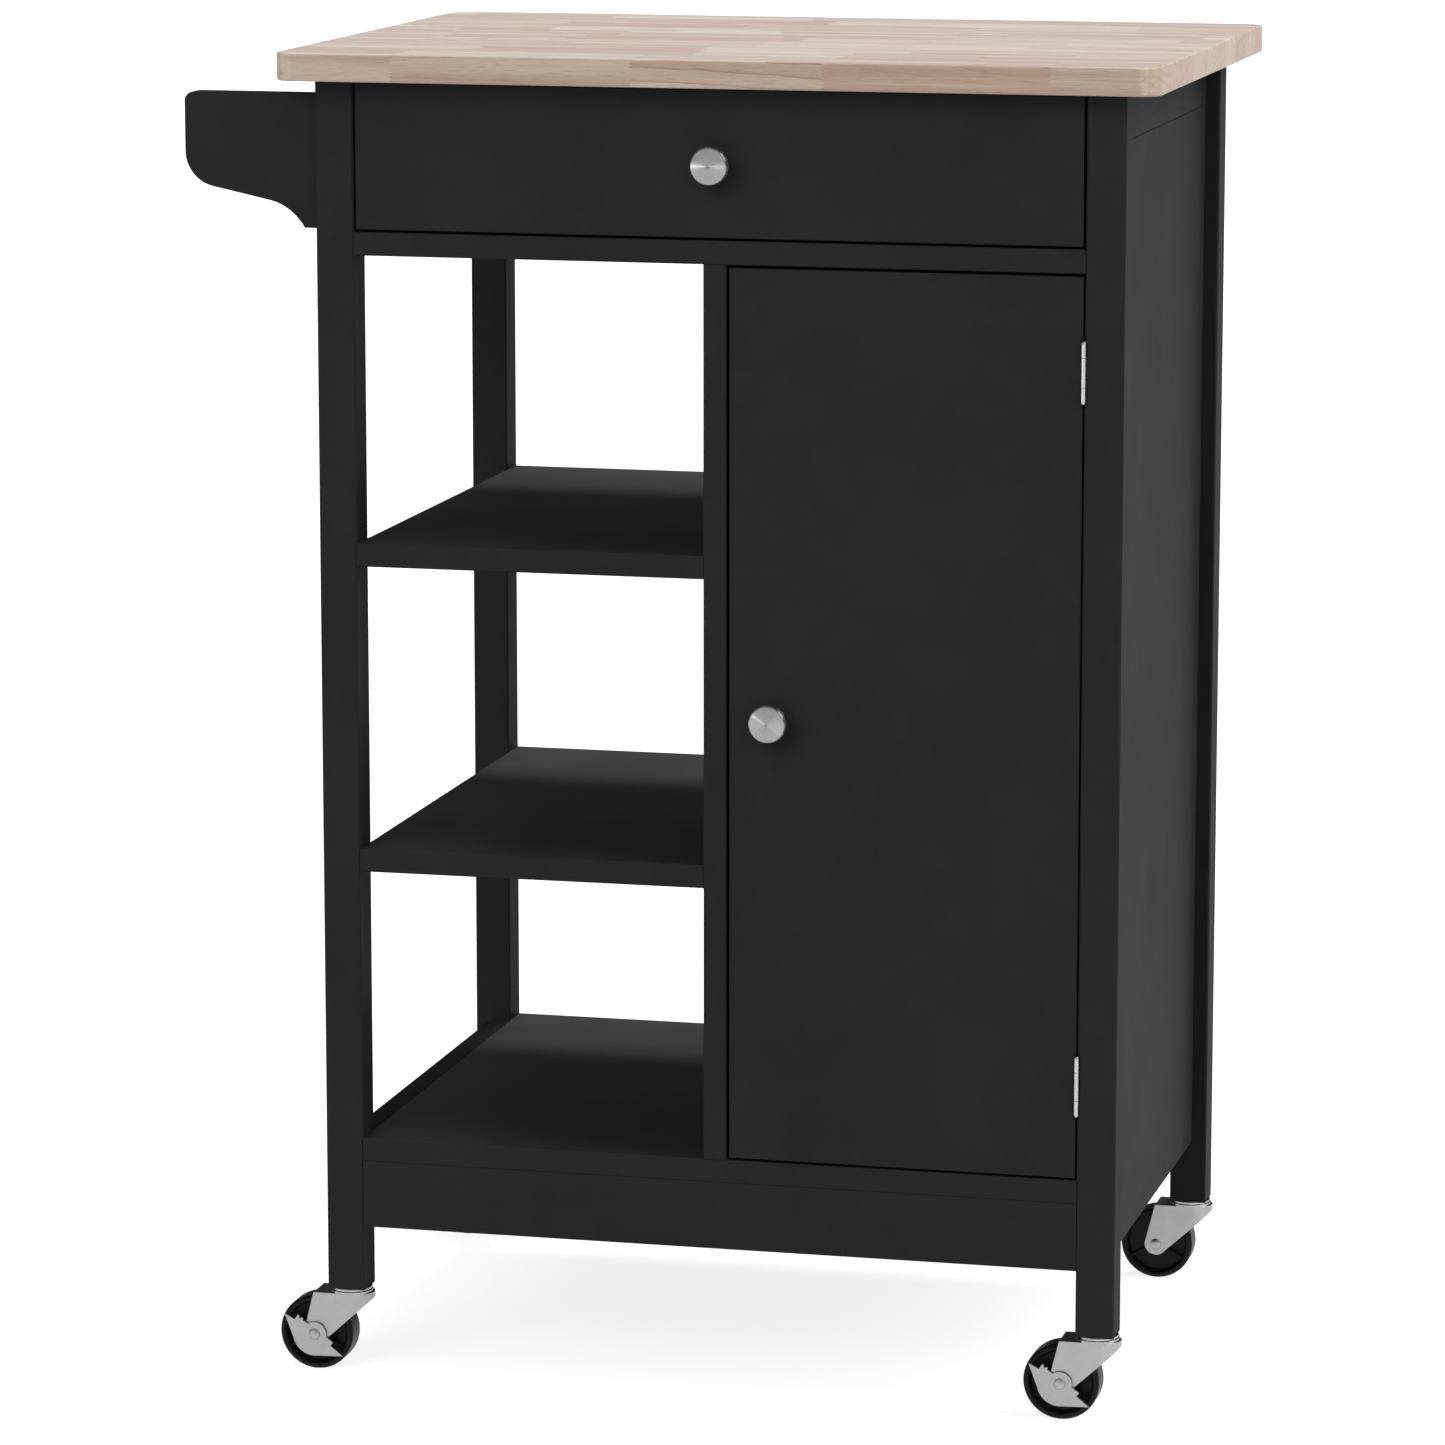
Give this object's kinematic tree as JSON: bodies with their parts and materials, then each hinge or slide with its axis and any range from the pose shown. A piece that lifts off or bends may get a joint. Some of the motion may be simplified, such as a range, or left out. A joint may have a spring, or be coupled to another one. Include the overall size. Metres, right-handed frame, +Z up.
{
  "type": "kitchen island cart",
  "caption": "Rolling kitchen cart: wood block top, wide drawer, open shelves on the left, door cabinet on the right, side towel bar and swivel casters.",
  "frame": {"origin": "on the floor, under the middle of the whole cart with its towel bar", "axes": "+Z up, +X to the right, -Y to the front, where the door and drawer open"},
  "size_m": [0.638, 0.421, 0.871],
  "materials": {
    "worktop_wood": "rubberwood butcher block of finger-jointed staves under a satin clear coat",
    "painted_wood": "engineered wood with smooth satin black paint",
    "raw_wood": "pale unfinished wood",
    "satin_nickel": "satin nickel",
    "zinc_steel": "bright zinc-plated steel",
    "black_plastic": "moulded black plastic"
  },
  "bodies": {
    "frame": {"worktop": "worktop_wood", "post_front_left": "painted_wood", "post_front_right": "painted_wood", "post_rear_left": "painted_wood", "post_rear_right": "painted_wood", "apron_front": "painted_wood", "apron_rear": "painted_wood", "rail_lower_left": "painted_wood", "rail_upper_left": "painted_wood", "rail_upper_right": "painted_wood", "rail_rear": "painted_wood", "side_panel_right": "painted_wood", "bay_floor": "painted_wood", "bottom_board": "painted_wood", "divider": "painted_wood", "shelf_upper": "painted_wood", "shelf_lower": "painted_wood", "cabinet_shelf": "painted_wood", "shelf_supports": "zinc_steel", "back_panel": "painted_wood", "frame_dowels": "raw_wood", "towel_bracket_front": "painted_wood", "towel_bracket_rear": "painted_wood", "towel_bar": "satin_nickel", "bracket_screws": "zinc_steel", "hinge_leaves_frame": "satin_nickel", "hinge_pins": "satin_nickel", "hinge_screws": "zinc_steel", "catch_magnet": "black_plastic", "drawer_runners": "raw_wood", "small_screws": "zinc_steel", "caster_stems": "zinc_steel"},
    "door": {"door": "painted_wood", "door_knob": "satin_nickel", "door_knob_screw": "zinc_steel", "hinge_leaves_door": "satin_nickel", "door_screws": "zinc_steel", "catch_strike": "zinc_steel"},
    "drawer": {"drawer_front": "painted_wood", "drawer_side_left": "raw_wood", "drawer_side_right": "raw_wood", "drawer_back": "raw_wood", "drawer_bottom": "raw_wood", "drawer_knob": "satin_nickel", "drawer_knob_screw": "zinc_steel", "drawer_dowels": "raw_wood"},
    "caster_front_left": {"fork_front_left": "satin_nickel", "axle_front_left": "zinc_steel"},
    "wheel_front_left": {"wheel_front_left": "black_plastic"},
    "brake_front_left": {"brake_front_left": "satin_nickel"},
    "caster_front_right": {"fork_front_right": "satin_nickel", "axle_front_right": "zinc_steel"},
    "wheel_front_right": {"wheel_front_right": "black_plastic"},
    "brake_front_right": {"brake_front_right": "satin_nickel"},
    "caster_rear_left": {"fork_rear_left": "satin_nickel", "axle_rear_left": "zinc_steel"},
    "wheel_rear_left": {"wheel_rear_left": "black_plastic"},
    "caster_rear_right": {"fork_rear_right": "satin_nickel", "axle_rear_right": "zinc_steel"},
    "wheel_rear_right": {"wheel_rear_right": "black_plastic"}
  },
  "joints": [
    {"name": "door_hinge", "type": "hinge", "parent": "frame", "child": "door", "pos_m": [0.2704, -0.1926, 0.45], "axis": [0, 0, 1], "range_deg": [0, 170]},
    {"name": "drawer_slide", "type": "slide", "parent": "frame", "child": "drawer", "axis": [0, -1, 0], "range_m": [0, 0.24]},
    {"name": "swivel_front_left", "type": "hinge", "parent": "frame", "child": "caster_front_left", "pos_m": [-0.2175, -0.1795, 0.05], "axis": [0, 0, 1], "continuous": true},
    {"name": "roll_front_left", "type": "hinge", "parent": "caster_front_left", "child": "wheel_front_left", "pos_m": [-0.2395, -0.1795, 0.025], "axis": [0, 1, 0], "continuous": true},
    {"name": "brake_front_left", "type": "hinge", "parent": "caster_front_left", "child": "brake_front_left", "pos_m": [-0.2395, -0.1927, 0.025], "axis": [0, -1, 0], "range_deg": [0, 20]},
    {"name": "swivel_front_right", "type": "hinge", "parent": "frame", "child": "caster_front_right", "pos_m": [0.2835, -0.1795, 0.05], "axis": [0, 0, 1], "continuous": true},
    {"name": "roll_front_right", "type": "hinge", "parent": "caster_front_right", "child": "wheel_front_right", "pos_m": [0.2615, -0.1795, 0.025], "axis": [0, 1, 0], "continuous": true},
    {"name": "brake_front_right", "type": "hinge", "parent": "caster_front_right", "child": "brake_front_right", "pos_m": [0.2615, -0.1927, 0.025], "axis": [0, -1, 0], "range_deg": [0, 20]},
    {"name": "swivel_rear_left", "type": "hinge", "parent": "frame", "child": "caster_rear_left", "pos_m": [-0.2175, 0.1795, 0.05], "axis": [0, 0, 1], "continuous": true},
    {"name": "roll_rear_left", "type": "hinge", "parent": "caster_rear_left", "child": "wheel_rear_left", "pos_m": [-0.2395, 0.1795, 0.025], "axis": [0, 1, 0], "continuous": true},
    {"name": "swivel_rear_right", "type": "hinge", "parent": "frame", "child": "caster_rear_right", "pos_m": [0.2835, 0.1795, 0.05], "axis": [0, 0, 1], "continuous": true},
    {"name": "roll_rear_right", "type": "hinge", "parent": "caster_rear_right", "child": "wheel_rear_right", "pos_m": [0.2615, 0.1795, 0.025], "axis": [0, 1, 0], "continuous": true}
  ]
}
